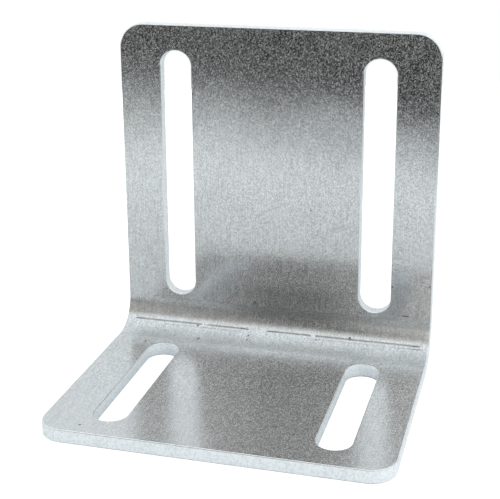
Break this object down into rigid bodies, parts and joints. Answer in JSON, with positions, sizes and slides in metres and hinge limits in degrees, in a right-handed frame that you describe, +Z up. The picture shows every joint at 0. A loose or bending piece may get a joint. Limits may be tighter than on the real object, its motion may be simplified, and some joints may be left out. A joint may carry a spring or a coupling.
{
  "type": "angle bracket",
  "caption": "Slotted angle bracket: one steel sheet folded square, with long round-ended slots in both legs so that what is bolted on can be adjusted.",
  "frame": {"origin": "middle of the footprint, on the underside of the base", "axes": "+Z up along the upright, +Y out of the upright's back face, +X along the fold"},
  "size_m": [0.1, 0.08, 0.104],
  "materials": {
    "zinc_steel": "bright zinc-plated sheet steel with a fine grain along the developed length"
  },
  "bodies": {
    "root": {"angle_bracket": "zinc_steel"}
  },
  "joints": []
}
